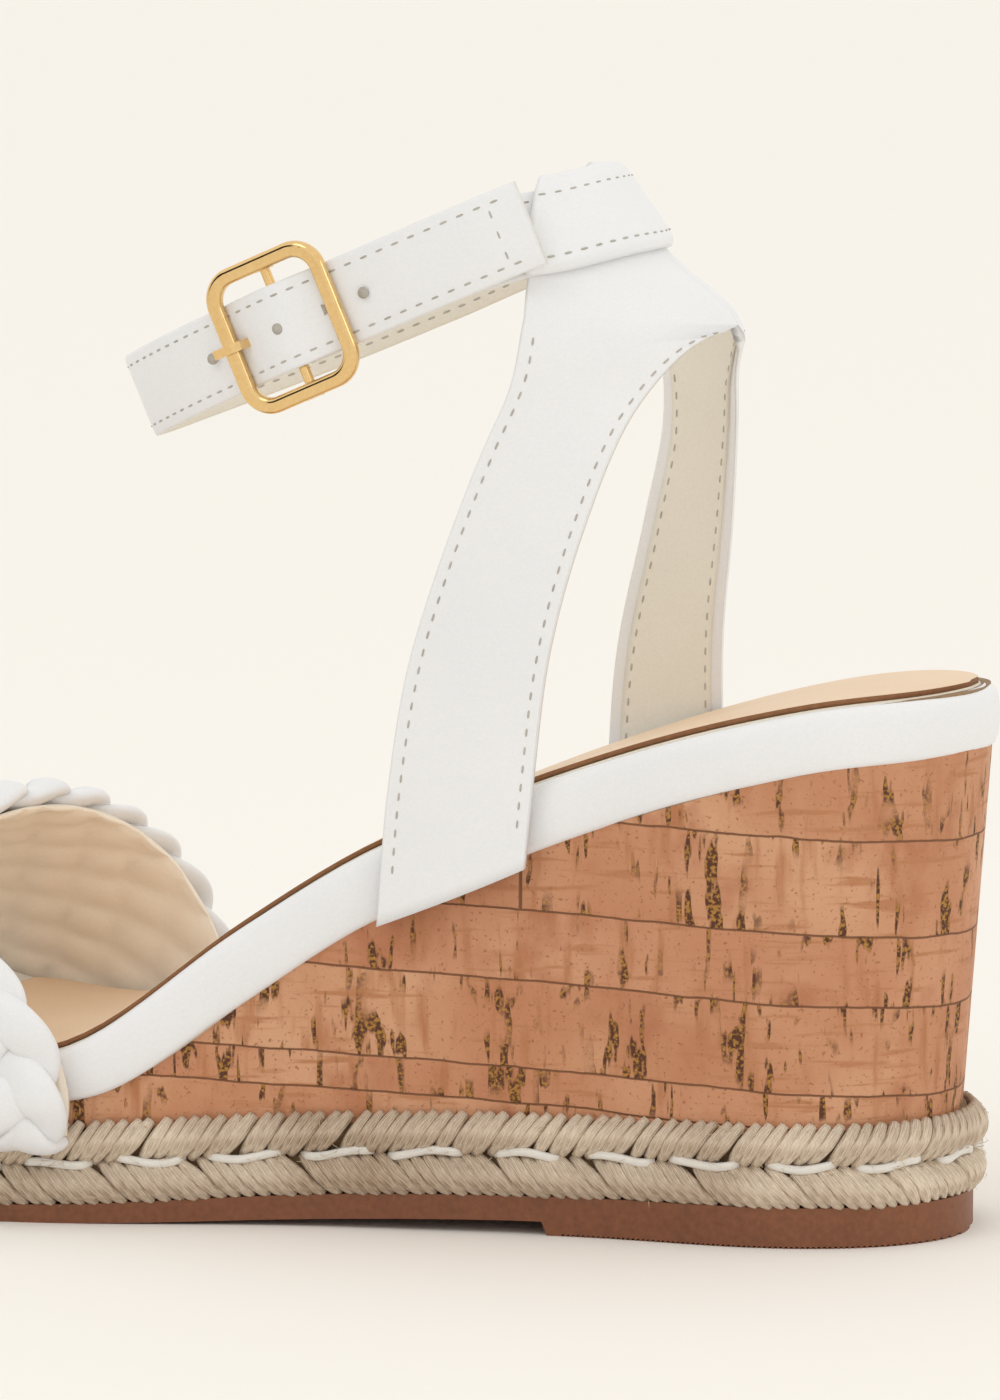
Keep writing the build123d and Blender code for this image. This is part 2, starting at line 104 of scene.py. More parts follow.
world = bpy.data.worlds.new("studio")
world.use_nodes = True
sky = world.node_tree.nodes["Background"].inputs
sky["Color"].default_value = linear(249, 247, 243)
sky["Strength"].default_value = 1.05
bpy.context.scene.world = world
for name, place, size, power, aim in (
    ("key", (-0.7, -1.1, 1.3), 0.7, 2.2, (0, 0, 0.08)),
    ("rim", (1.2, -0.6, 0.8), 0.5, 0.8, (0, 0, 0.1)),
):
    lamp_data = bpy.data.lights.new(name, "AREA")
    lamp_data.shape = "DISK"
    lamp_data.size = size
    lamp_data.energy = power
    lamp = bpy.data.objects.new(name, lamp_data)
    lamp.location = place
    lamp.rotation_euler = (Vector(aim) - Vector(place)).to_track_quat("-Z", "Y").to_euler()
    bpy.context.scene.collection.objects.link(lamp)
# A dark card beside the camera puts a darker edge on the metal and a little shape on the white leather.
stage_card("card", [(-1.5, -0.5, 0.05), (-1.1, -1.3, 0.05), (-1.1, -1.3, 0.7), (-1.5, -0.5, 0.7)],
           linear(40, 36, 34))
bpy.context.scene.view_settings.view_transform = "Standard"


# ---- Outsole ----
# One moulded brown rubber sheet with a raised, finely ribbed heel pad, cemented under the wedge.
MM = 0.001
CLOUD_SCALE = 45
CLOUD_SHARE = 0.35


def textured(name, dark, light, roughness, scale, stretch=(1, 1, 1), bump=0.2, depth=0.1, metallic=0.0,
             uses_uv=False, contrast=0.5):
    """Material that goes from dark to light over a grain and wider clouds, with the grain as relief."""
    made, shader = principled(name, light, roughness, metallic)
    new = made.node_tree.nodes.new
    link = made.node_tree.links.new
    place = new("ShaderNodeTexCoord")
    mapping = new("ShaderNodeMapping")
    mapping.inputs["Scale"].default_value = stretch
    link(place.outputs["UV" if uses_uv else "Object"], mapping.inputs["Vector"])
    grain = new("ShaderNodeTexNoise")
    grain.inputs["Scale"].default_value = scale
    grain.inputs["Detail"].default_value = 6
    link(mapping.outputs["Vector"], grain.inputs["Vector"])
    cloud = new("ShaderNodeTexNoise")
    cloud.inputs["Scale"].default_value = CLOUD_SCALE
    link(place.outputs["Object"], cloud.inputs["Vector"])
    blend = new("ShaderNodeMath")
    blend.operation = "MULTIPLY_ADD"
    blend.inputs[1].default_value = CLOUD_SHARE
    link(cloud.outputs["Fac"], blend.inputs[0])
    share = new("ShaderNodeMath")
    share.operation = "MULTIPLY"
    share.inputs[1].default_value = 1 - CLOUD_SHARE
    link(grain.outputs["Fac"], share.inputs[0])
    link(share.outputs[0], blend.inputs[2])
    ramp = new("ShaderNodeValToRGB")
    low, high = ramp.color_ramp.elements
    low.position = 0.5 - contrast / 2
    low.color = dark
    high.position = 0.5 + contrast / 2
    high.color = light
    link(blend.outputs[0], ramp.inputs["Fac"])
    link(ramp.outputs["Color"], shader.inputs["Base Color"])
    relief = new("ShaderNodeBump")
    relief.inputs["Strength"].default_value = bump
    relief.inputs["Distance"].default_value = depth * MM
    link(grain.outputs["Fac"], relief.inputs["Height"])
    link(relief.outputs["Normal"], shader.inputs["Normal"])
    return made


def dress(node, made):
    """Give a CAD node its material."""
    nodes[node].data.materials.clear()
    nodes[node].data.materials.append(made)


rubber = textured("rubber", linear(104, 62, 38), linear(136, 84, 54), 0.55, 900, bump=0.25)
dress("outsole", rubber)

# ---- Hidden core, foam and board ----
# They fill the wedge and the platform; only their thin edges could ever show.
core_foam = textured("core_foam", linear(190, 178, 160), linear(214, 204, 188), 0.9, 500)
board_fibre = textured("board_fibre", linear(130, 105, 80), linear(165, 138, 108), 0.9, 700)
dress("wedge_core", core_foam)
dress("platform_core", core_foam)
dress("insole_board", board_fibre)

# ---- Cork veneer ----
# Thin sheets of natural cork in level strips, glued round the wedge. Dark lenticels run up and down
# through each strip, and fine growth lines run along it.
cork, cork_shader = principled("cork", linear(200, 148, 112), 0.72)
cork_tree = cork.node_tree


def cork_math(operation, *values):
    """Math node on links or plain numbers; its output."""
    made = cork_tree.nodes.new("ShaderNodeMath")
    made.operation = operation
    for socket, value in zip(made.inputs, values):
        if isinstance(value, (int, float)):
            socket.default_value = value
        else:
            cork_tree.links.new(value, socket)
    return made.outputs[0]


def cork_noise(scale, detail, stretch=(1, 1, 1), seed=None):
    """Noise on the cork's own place, stretched, and another one for each seed; its factor."""
    mapping = cork_tree.nodes.new("ShaderNodeMapping")
    mapping.inputs["Scale"].default_value = stretch
    cork_tree.links.new(cork_place, mapping.inputs["Vector"])
    made = cork_tree.nodes.new("ShaderNodeTexNoise")
    made.noise_dimensions = "4D"
    made.inputs["Scale"].default_value = scale
    made.inputs["Detail"].default_value = detail
    if seed is not None:
        cork_tree.links.new(seed, made.inputs["W"])
    cork_tree.links.new(mapping.outputs["Vector"], made.inputs["Vector"])
    return made.outputs["Fac"]


def cork_mix(factor, first, second):
    """Colour mixed from two colours, each a link or a plain colour; its output."""
    made = cork_tree.nodes.new("ShaderNodeMix")
    made.data_type = "RGBA"
    cork_tree.links.new(factor, made.inputs["Factor"])
    for name, value in (("A", first), ("B", second)):
        socket = [s for s in made.inputs if s.name == name and s.type == "RGBA"][0]
        if isinstance(value, tuple):
            socket.default_value = value
        else:
            cork_tree.links.new(value, socket)
    return [s for s in made.outputs if s.type == "RGBA"][0]


def cork_rise(value, low, high):
    """0 at low and 1 at high, smooth between."""
    made = cork_tree.nodes.new("ShaderNodeMapRange")
    made.interpolation_type = "SMOOTHSTEP"
    made.inputs["From Min"].default_value = low
    made.inputs["From Max"].default_value = high
    cork_tree.links.new(value, made.inputs["Value"])
    return made.outputs["Result"]


# Heights of the joints between the strips, in metres as the shader sees them; the strips sink to the toe.
CORK_JOINTS = (0.0215, 0.0278, 0.0430, 0.0553, 0.0718)
STRIP_SINK = 0.05
STRIP_WAVE = 0.0016
JOINT_EDGE = (0.00026, 0.00005)
cork_place = cork_tree.nodes.new("ShaderNodeTexCoord").outputs["Object"]
cork_parts = cork_tree.nodes.new("ShaderNodeSeparateXYZ")
cork_tree.links.new(cork_place, cork_parts.inputs["Vector"])
cork_wave = cork_noise(70, 4)
cork_level = cork_math("MULTIPLY_ADD", cork_parts.outputs["X"], STRIP_SINK, cork_parts.outputs["Z"])
cork_level = cork_math("MULTIPLY_ADD", cork_wave, STRIP_WAVE, cork_level)
strip_number = None
joint_line = None
for joint in CORK_JOINTS:
    above = cork_math("GREATER_THAN", cork_level, joint)
    strip_number = above if strip_number is None else cork_math("ADD", strip_number, above)
    away = cork_math("ABSOLUTE", cork_math("SUBTRACT", cork_level, joint))
    line = cork_rise(away, *JOINT_EDGE)
    joint_line = line if joint_line is None else cork_math("MAXIMUM", joint_line, line)
# One upright butt joint in the fourth strip from the ground.
BUTT_X = -0.038
BUTT_STRIP = 4
BUTT_EDGE = (0.0004, 0.00012)
butt = cork_math("ABSOLUTE", cork_math("SUBTRACT", cork_parts.outputs["X"], BUTT_X))
butt = cork_rise(butt, *BUTT_EDGE)
butt = cork_math("MULTIPLY", butt, cork_math("COMPARE", strip_number, BUTT_STRIP, 0.2))
joint_line = cork_math("MAXIMUM", joint_line, butt)
strip_seed = cork_math("MULTIPLY", strip_number, 7.3)

cork_tone = cork_noise(38, 5, (1, 1, 0.6), strip_seed)
streaks = cork_noise(320, 3, (1, 1, 0.16), strip_seed)
growth = cork_noise(420, 5, (0.16, 0.16, 1.6), strip_seed)
fleck = cork_noise(1500, 4)
blotch = cork_noise(95, 4, (1, 1, 0.8), strip_seed)
pores = cork_rise(cork_noise(420, 2, (1, 1, 0.24), strip_seed), 0.56, 0.60)
pore_patches = cork_rise(cork_noise(75, 2, (1, 1, 0.8), strip_seed), 0.46, 0.54)
cracks = cork_rise(cork_noise(560, 2, (1, 1, 0.1), strip_seed), 0.60, 0.64)
crack_patches = cork_rise(cork_noise(110, 1, (1, 1, 0.7), strip_seed), 0.48, 0.56)
lenticels = cork_math("MAXIMUM", cork_math("MULTIPLY", pores, pore_patches),
                      cork_math("MULTIPLY", cracks, crack_patches))
strip_tone = cork_math("FRACT", cork_math("MULTIPLY", strip_number, 0.618))
strip_tone = cork_math("MULTIPLY", strip_tone, 0.45)
lenticel_colour = cork_mix(cork_rise(fleck, 0.45, 0.60), linear(84, 46, 26), linear(168, 120, 52))
cork_colour = cork_mix(cork_rise(cork_tone, 0.35, 0.65), linear(188, 128, 92), linear(210, 160, 124))
for share, shade in (
    (strip_tone, linear(196, 136, 104)),
    (cork_rise(blotch, 0.50, 0.74), linear(176, 114, 80)),
    (cork_rise(streaks, 0.52, 0.72), linear(176, 116, 78)),
    (cork_rise(growth, 0.54, 0.66), linear(180, 122, 84)),
    (cork_rise(fleck, 0.58, 0.70), linear(158, 104, 70)),
    (lenticels, lenticel_colour),
    (joint_line, linear(120, 78, 50)),
):
    cork_colour = cork_mix(share, cork_colour, shade)
cork_tree.links.new(cork_colour, cork_shader.inputs["Base Color"])
cork_height = cork_math("MULTIPLY_ADD", growth, 0.35, cork_math("MULTIPLY", fleck, 0.4))
cork_height = cork_math("SUBTRACT", cork_height, lenticels)
cork_height = cork_math("SUBTRACT", cork_height, joint_line)
cork_relief = cork_tree.nodes.new("ShaderNodeBump")
cork_relief.inputs["Strength"].default_value = 0.7
cork_relief.inputs["Distance"].default_value = 0.35 * MM
cork_tree.links.new(cork_height, cork_relief.inputs["Height"])
cork_tree.links.new(cork_relief.outputs["Normal"], cork_shader.inputs["Normal"])
dress("cork_wrap", cork)


# ---- Jute rand ----
# Two rows of jute rope sewn round the foot of the wedge. The plies of the upper row lean one way and
# those of the lower row the other; they lie in lobes of seven, with loose fibres standing off.
CURVE_STEPS = 24


def smooth(points, at):
    """Value at a place on a smooth curve through (place, value) points in rising or falling order."""
    pts = sorted(points)
    if at <= pts[0][0]:
        return pts[0][1]
    if at >= pts[-1][0]:
        return pts[-1][1]
    k = max(i for i in range(len(pts) - 1) if pts[i][0] <= at)

    def slope(i):
        low = max(i - 1, 0)
        high = min(i + 1, len(pts) - 1)
        return (pts[high][1] - pts[low][1]) / (pts[high][0] - pts[low][0])

    span = pts[k + 1][0] - pts[k][0]
    t = (at - pts[k][0]) / span
    a = (1 + 2 * t) * (1 - t) ** 2
    b = t * (1 - t) ** 2
    c = t * t * (3 - 2 * t)
    d = t * t * (t - 1)
    return a * pts[k][1] + b * span * slope(k) + c * pts[k + 1][1] + d * span * slope(k + 1)


def run_along(path):
    """Length run at each point of a path."""
    run = [0.0]
    for first, second in zip(path, path[1:]):
        run.append(run[-1] + (second - first).length)
    return run


def spot_on(run, want, k):
    """Number of the point before a length run, k or later, and the share of the way to the next."""
    while k < len(run) - 2 and run[k + 1] < want:
        k += 1
    return k, (want - run[k]) / max(run[k + 1] - run[k], 1e-9)


def heading(path, i):
    """Direction of a path at one of its points."""
    return (path[min(i + 1, len(path) - 1)] - path[max(i - 1, 0)]).normalized()


def through(points, count, closed=False):
    """Evenly spaced points on a smooth curve through points with any number of coordinates."""
    pts = [Vector(p) for p in points]
    size = len(pts)
    fine = []
    for i in range(size if closed else size - 1):
        p0 = pts[(i - 1) % size] if closed or i > 0 else pts[0] * 2 - pts[1]
        p1 = pts[i]
        p2 = pts[(i + 1) % size]
        p3 = pts[(i + 2) % size] if closed or i + 2 < size else pts[-1] * 2 - pts[-2]
        d0 = max((p1 - p0).length, 1e-6) ** 0.5
        d1 = max((p2 - p1).length, 1e-6) ** 0.5
        d2 = max((p3 - p2).length, 1e-6) ** 0.5
        m1 = (p2 - p1) + ((p1 - p0) / d0 - (p2 - p0) / (d0 + d1)) * d1
        m2 = (p2 - p1) + ((p3 - p2) / d2 - (p3 - p1) / (d1 + d2)) * d1
        for step in range(CURVE_STEPS):
            t = step / CURVE_STEPS
            fine.append(p1 * ((1 + 2 * t) * (1 - t) ** 2) + m1 * (t * (1 - t) ** 2)
                        + p2 * (t * t * (3 - 2 * t)) + m2 * (t * t * (t - 1)))
    fine.append(pts[0] if closed else pts[-1])
    run = run_along(fine)
    result = []
    k = 0
    for i in range(count):
        k, share = spot_on(run, run[-1] * i / (count if closed else count - 1), k)
        result.append(fine[k].lerp(fine[k + 1], min(max(share, 0), 1)))
    return result


def add_object(name, points, faces, materials, indices=None, uvs=None, subdivide=0):
    """Mesh object from points in millimetres, smooth shaded."""
    mesh = bpy.data.meshes.new(name)
    mesh.from_pydata([Vector(p) * MM for p in points], [], faces)
    for made in materials:
        mesh.materials.append(made)
    for number, polygon in enumerate(mesh.polygons):
        polygon.use_smooth = True
        if indices:
            polygon.material_index = indices[number]
    if uvs:
        layer = mesh.uv_layers.new(name="UVMap")
        for loop in mesh.loops:
            layer.data[loop.index].uv = uvs[loop.vertex_index]
    made_object = bpy.data.objects.new(name, mesh)
    bpy.context.scene.collection.objects.link(made_object)
    if subdivide:
        finer = made_object.modifiers.new("finer", "SUBSURF")
        finer.levels = subdivide
        finer.render_levels = subdivide
    return made_object


# Height of the platform layer's top and underside and of the outsole's top, by X.
PLATFORM_TOP = [(44, 94.6), (11, 91.3), (-24, 81.8), (-63, 65.9), (-87, 51), (-110, 33.4), (-123, 28.4),
                (-145, 29.6), (-156, 32.4), (-168, 36.0), (-180, 38.8), (-190, 40.0), (-202, 39.8),
                (-210, 39)]
PLATFORM_BOTTOM = [(44, 84.9), (11, 81.2), (-24, 71), (-64, 53.5), (-87, 38.2), (-103, 26.4), (-112, 22.2),
                   (-126, 20.9), (-148, 21.9), (-208, 29.3)]
SOLE_TOP = [(44, 7), (-33, 6.8), (-67, 6.0), (-110, 3.6), (-135, 3.1), (-165, 5.4), (-208, 11.8)]
# The plan of the platform seen from above, and where its heel starts to round off.
PLAN = [(38.2, 0), (30, -20), (9, -29.2), (-22, -28.6), (-52, -30), (-82, -33.2), (-115, -41), (-142, -43.3),
        (-172, -37.5), (-193, -20), (-202, 6), (-195, 25), (-174, 36), (-142, 38.6), (-112, 34), (-77, 28.2),
        (-42, 27.4), (9, 28.5), (30, 20)]
TOE_X = -202
HEEL_X = 38.2
HEEL_ROUND_X = 9
HEEL_ROUND = 29.2


def grid_faces(rows, columns, wrap_rows=False, wrap_columns=False, base=0):
    """Faces of a grid of points that were added row by row."""
    faces = []
    for i in range(rows if wrap_rows else rows - 1):
        for k in range(columns if wrap_columns else columns - 1):
            a = base + i * columns + k
            b = base + i * columns + (k + 1) % columns
            c = base + ((i + 1) % rows) * columns + (k + 1) % columns
            d = base + ((i + 1) % rows) * columns + k
            faces.append((a, b, c, d))
    return faces


def plan_ring(count, heel_shift=0.0):
    """Places round the plan from the heel along the outer side: point and outward normal."""
    moved = [(x - heel_shift * max(0, (x - HEEL_ROUND_X) / HEEL_ROUND), y) for x, y in PLAN]
    ring = through(moved, count, closed=True)
    result = []
    for i in range(count):
        way = (ring[(i + 1) % count] - ring[i - 1]).normalized()
        result.append((ring[i], Vector((-way.y, way.x))))
    return result


def on_ring(ring, place):
    """Point and normal at a place between the ring's points, counted in points."""
    low = math.floor(place)
    share = place - low
    first = ring[low % len(ring)]
    second = ring[(low + 1) % len(ring)]
    return first[0].lerp(second[0], share), first[1].lerp(second[1], share).normalized()


def tube(points, faces, uvs, path, sides, radii, across):
    """Add a closed tube of elliptical section along path to a mesh being built."""
    base = len(points)
    run = 0.0
    for i, centre in enumerate(path):
        way = heading(path, i)
        wide = (across[i] - way * across[i].dot(way)).normalized()
        thick = way.cross(wide)
        if i:
            run += (centre - path[i - 1]).length
        for k in range(sides):
            turn = 2 * math.pi * k / sides
            offset = wide * (radii[i][0] * math.cos(turn)) + thick * (radii[i][1] * math.sin(turn))
            points.append(centre + offset)
            uvs.append((run * MM, k / sides))
    for i in range(len(path) - 1):
        for k in range(sides):
            a = base + i * sides + k
            b = base + i * sides + (k + 1) % sides
            faces.append((a, b, b + sides, a + sides))
    faces.append(tuple(base + k for k in reversed(range(sides))))
    faces.append(tuple(base + (len(path) - 1) * sides + k for k in range(sides)))


def add_tubes(name, tubes, made, subdivide=0):
    """Mesh object from the points, faces and UVs of tubes."""
    return add_object(name, tubes[0], tubes[1], [made], uvs=tubes[2], subdivide=subdivide)


jute = textured("jute", linear(146, 116, 88), linear(248, 232, 210), 0.9, 1.0, (420, 34, 1), bump=1.0,
                depth=0.4, uses_uv=True, contrast=0.34)
fibre = textured("jute_fibre", linear(176, 152, 118), linear(226, 210, 180), 0.8, 900)
ROPE_ROW = 7.1
ROPE_PROUD = 0.3
ROPE_HEEL_SHIFT = 2.6
LOBE_LENGTH = 17.0
PLIES_PER_LOBE = 7
PLY_STEPS = 9
PLY_WIDE = 1.34
PLY_DEEP = 1.25
PLY_SINK = 1.9
RING_STEPS = 600
rope_ring = plan_ring(RING_STEPS, ROPE_HEEL_SHIFT)
rope_length = sum((rope_ring[i][0] - rope_ring[i - 1][0]).length for i in range(RING_STEPS))
per_mm = RING_STEPS / rope_length
dice = random.Random(4)


def rope_row(name, low, lean, start):
    """One row of the rope: leaning plies in lobes."""
    plies = ([], [], [])
    lobes = int(rope_length / LOBE_LENGTH)
    for number in range(lobes * PLIES_PER_LOBE):
        lobe = number // PLIES_PER_LOBE
        phase = (number % PLIES_PER_LOBE + 0.5) / PLIES_PER_LOBE * 2 - 1
        middle = (lobe + 0.5 + start + phase * 0.47) * rope_length / lobes
        fat = 1.0 - 0.55 * phase * phase
        shift = dice.uniform(-0.32, 0.32)
        plump = dice.uniform(0.86, 1.06)
        path = []
        across = []
        radii = []
        for step in range(PLY_STEPS):
            u = step / (PLY_STEPS - 1)
            curve = (u - 0.5) * lean * (1.15 - 0.15 * phase)
            spot, normal = on_ring(rope_ring, (middle + curve + shift) * per_mm)
            belly = (1.5 + 0.8 * fat) * math.sin(math.pi * (0.08 + 0.84 * u))
            out = ROPE_PROUD - PLY_SINK + belly + shift * 0.3
            height = smooth(SOLE_TOP, spot.x) + low + ROPE_ROW * (0.02 + 0.96 * u)
            path.append(Vector((spot.x + normal.x * out, spot.y + normal.y * out, height)))
            across.append(Vector((normal.y, -normal.x, 0)))
            thin = 0.55 + 0.45 * math.sin(math.pi * (0.1 + 0.8 * u))
            radii.append((PLY_WIDE * thin * plump, PLY_DEEP * thin * plump))
        tube(*plies, path, 8, radii, across)
    return add_tubes(name, plies, jute)


upper_rope = rope_row("upper_rope", ROPE_ROW, -4.6, 0.0)
lower_rope = rope_row("lower_rope", 0.0, 6.4, 0.35)
FUZZ_COUNT = 900
FUZZ_RADII = [(0.07, 0.07), (0.06, 0.06), (0.05, 0.05), (0.02, 0.02)]
fuzz = ([], [], [])
for number in range(FUZZ_COUNT):
    spot, normal = on_ring(rope_ring, dice.uniform(0, RING_STEPS))
    height = smooth(SOLE_TOP, spot.x) + dice.uniform(0.8, 13.4)
    root = Vector((spot.x + normal.x * 0.5, spot.y + normal.y * 0.5, height))
    side = Vector((normal.y, -normal.x, 0)) * dice.uniform(-3.2, 3.2)
    out = Vector((normal.x, normal.y, 0)) * dice.uniform(0.4, 1.5)
    drift = Vector((0, 0, dice.uniform(-2.2, 2.2)))
    tip = root + side + out * 0.8 + drift
    middle = root.lerp(tip, 0.5) + out * 0.7
    path = [root, root.lerp(middle, 0.5) + out * 0.2, middle, tip]
    tube(*fuzz, path, 3, FUZZ_RADII, [Vector((0, 0, 1))] * 4)
rope_fuzz = add_tubes("rope_fuzz", fuzz, fibre)
for piece in (upper_rope, lower_rope, rope_fuzz):
    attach(piece, "upper_and_sole")
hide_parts("jute_rope_upper")
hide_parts("jute_rope_lower")
# A bed of jute behind the plies, where the two rows meet the wedge, coloured dark as painted shade in the
# gaps between the plies: outwards and up from the sole.
BED_PROFILE = [(-4.4, 0.05), (-1.9, 0.05), (-0.9, 3.5), (-1.7, 7.1), (-0.9, 10.6), (-1.9, 14.0),
               (-4.4, 14.0)]
# Painted shade: the bed's dark brown stands for the shade in the gaps between the plies.
bed_painted_shade = textured("jute_bed_painted_shade", linear(104, 82, 56), linear(146, 118, 84), 0.95, 1200, bump=0.5)
bed_ring = rope_ring[::3]
bed_points = []
for spot, normal in bed_ring:
    base = smooth(SOLE_TOP, spot.x)
    for out, up in BED_PROFILE:
        bed_points.append((spot.x + normal.x * out, spot.y + normal.y * out, base + up))
bed_faces = grid_faces(len(bed_ring), len(BED_PROFILE), wrap_rows=True)
rope_shade_bed = add_object("rope_shade_bed", bed_points, bed_faces, [bed_painted_shade])
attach(rope_shade_bed, "upper_and_sole")

# ---- Running stitch ----
# A flat white cotton thread sewn through the rope, wandering a little along the seam of the two rows.
thread = textured("cotton", linear(206, 200, 190), linear(240, 237, 230), 0.8, 1.0, (500, 14, 1), bump=0.6,
                  depth=0.15, uses_uv=True, contrast=0.5)
STITCH_PITCH = 16.2
STITCH_LENGTH = 12.6
STITCH_STEPS = 11
stitches = ([], [], [])
stitch_count = int(rope_length / STITCH_PITCH)
for number in range(stitch_count):
    start = (number + 0.1 + dice.uniform(-0.04, 0.04)) * rope_length / stitch_count
    long = STITCH_LENGTH + dice.uniform(-0.8, 0.8)
    bend = dice.uniform(-0.5, 0.5)
    path = []
    for step in range(STITCH_STEPS):
        u = step / (STITCH_STEPS - 1)
        spot, normal = on_ring(rope_ring, (start + long * u) * per_mm)
        sink = -1.3 * (abs(2 * u - 1) ** 8)
        height = smooth(SOLE_TOP, spot.x) + ROPE_ROW + 0.2
        height += 0.55 * math.sin(5 * u + number) + bend * (u - 0.5)
        out = 0.6 + sink + 0.18 * math.sin(9 * u + number * 2)
        path.append(Vector((spot.x + normal.x * out, spot.y + normal.y * out, height)))
    tube(*stitches, path, 8, [(0.78, 0.42)] * STITCH_STEPS, [Vector((0, 0, 1))] * STITCH_STEPS)
running_stitch = add_tubes("running_stitch", stitches, thread)
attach(running_stitch, "upper_and_sole")
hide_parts("rope_stitches")


# ---- Platform band and toe cover ----
# White leather drawn round the foam platform and turned under; a second panel covers the toe end.
def leather_material(name, dark, light, roughness=0.42):
    """Coated leather: a fine pebble grain and soft unevenness."""
    made = textured(name, dark, light, roughness, 2200, bump=0.14, depth=0.05, contrast=0.6)
    shader = made.node_tree.nodes["Principled BSDF"]
    shader.inputs["Coat Weight"].default_value = 0.12
    shader.inputs["Coat Roughness"].default_value = 0.35
    return made


white = leather_material("white_leather", linear(228, 229, 231), linear(240, 240, 241))
# Outwards, share of the way from the underside to the top, and up.
BAND_PROFILE = [(-3.0, 0.0, 0.1), (-1.0, 0.0, -0.35), (0.1, 0.0, 0.0), (0.5, 0.1, 0.4), (0.75, 0.3, 0.0),
                (0.8, 0.5, 0.0), (0.65, 0.75, 0.0), (0.3, 0.93, 0.0), (-0.4, 1.0, 0.15), (-1.4, 1.0, 0.35),
                (-2.4, 1.0, 0.3), (-3.2, 1.0, 0.0), (-4.6, 1.0, -0.15)]
BAND_STEPS = 240
band_ring = plan_ring(BAND_STEPS)
band_points = []
for number, (spot, normal) in enumerate(band_ring):
    low = smooth(PLATFORM_BOTTOM, spot.x)
    high = smooth(PLATFORM_TOP, spot.x)
    swell = 0.12 * math.sin(number * 0.37) + 0.08 * math.sin(number * 0.83 + 1)
    for out, share, lift in BAND_PROFILE:
        puff = out + swell * (1 if 0.2 < share < 0.9 else 0)
        band_points.append((spot.x + normal.x * puff, spot.y + normal.y * puff,
                            low + (high - low) * share + lift))
band_faces = grid_faces(BAND_STEPS, len(BAND_PROFILE), wrap_rows=True)
platform_band = add_object("platform_band", band_points, band_faces, [white], subdivide=1)
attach(platform_band, "upper_and_sole")
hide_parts("platform_wrap")


def side_limits(x, inset):
    """Y of the plan's outer and inner side at an X, moved in by inset."""
    outer = None
    inner = None
    for (a, na), (b, nb) in zip(band_ring, band_ring[1:] + band_ring[:1]):
        a_in = a - na * inset
        b_in = b - nb * inset
        if (a_in.x - x) * (b_in.x - x) <= 0 and abs(b_in.x - a_in.x) > 1e-9:
            y = a_in.y + (b_in.y - a_in.y) * (x - a_in.x) / (b_in.x - a_in.x)
            if b_in.x < a_in.x:
                outer = y if outer is None else min(outer, y)
            else:
                inner = y if inner is None else max(inner, y)
    return outer, inner


def sheet_faces(rows, columns, base=0):
    """Faces of a sheet closed between two grids of points, the second added right after the first."""
    size = rows * columns
    faces = grid_faces(rows, columns, base=base)
    faces += [tuple(reversed(f)) for f in grid_faces(rows, columns, base=base + size)]
    rim = [k for k in range(columns)]
    rim += [i * columns + columns - 1 for i in range(1, rows)]
    rim += [(rows - 1) * columns + k for k in reversed(range(columns - 1))]
    rim += [i * columns for i in reversed(range(1, rows - 1))]
    for a, b in zip(rim, rim[1:] + rim[:1]):
        faces.append((base + b, base + a, base + a + size, base + b + size))
    return faces


def eased(i, count):
    """Share of the way from 0 to 1 for one of count places that lie closer at both ends."""
    return 0.5 * (1 - math.cos(math.pi * i / (count - 1)))


def platform_sheet(name, x_front, x_back, inset, low, high, materials, round_front=0.0):
    """Sheet that lies on the platform between two X, with its thickness shown round the edge."""
    rows = 72
    columns = 29
    margin = inset + 0.3
    reach = [x_front + (x_back - x_front) * eased(i, rows) for i in range(rows)]
    limits = []
    for x in reach:
        probe = min(max(x, TOE_X + margin), HEEL_X - margin)
        outer, inner = side_limits(probe, inset)
        near = x - x_front
        if round_front and near < round_front:
            cut = round_front - math.sqrt(max(round_front ** 2 - (round_front - near) ** 2, 0))
            outer += cut
            inner -= cut
        limits.append((outer, inner))
    points = []
    for level in (high, low):
        for x, (outer, inner) in zip(reach, limits):
            for k in range(columns):
                u = eased(k, columns)
                y = outer + (inner - outer) * u
                edge = 0.22 * (abs(2 * u - 1) ** 14) if level == high else 0
                points.append((x, y, smooth(PLATFORM_TOP, x) + level - edge))
    faces = sheet_faces(rows, columns)
    flat = 2 * (rows - 1) * (columns - 1)
    indices = [0] * flat + [len(materials) - 1] * (len(faces) - flat)
    return add_object(name, points, faces, materials, indices)


toe_cover = platform_sheet("toe_leather", -199.4, -145.5, 2.8, 0.1, 1.0, [white])
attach(toe_cover, "upper_and_sole")
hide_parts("toe_cover")

# ---- Sock and its padding ----
# A beige leather sock over thin cream felt, glued on the platform; its raw edge shows as a brown line.
beige = leather_material("sock_leather", linear(226, 194, 160), linear(240, 214, 184), 0.6)
raw_edge = textured("sock_edge", linear(120, 80, 50), linear(150, 104, 70), 0.8, 900)
felt = textured("felt", linear(225, 214, 194), linear(242, 234, 218), 0.9, 1200)
sock = platform_sheet("sock", -147.0, 34.9, 3.0, 0.8, 1.9, [beige, raw_edge], 5.0)
padding = platform_sheet("sock_felt", -146.6, 35.3, 2.6, 0.0, 0.8, [felt])
for piece, node, slot in ((sock, "sock_lining", "sock_leather"), (padding, "sock_padding", "cream_padding")):
    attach(piece, "upper_and_sole")
    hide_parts(node)

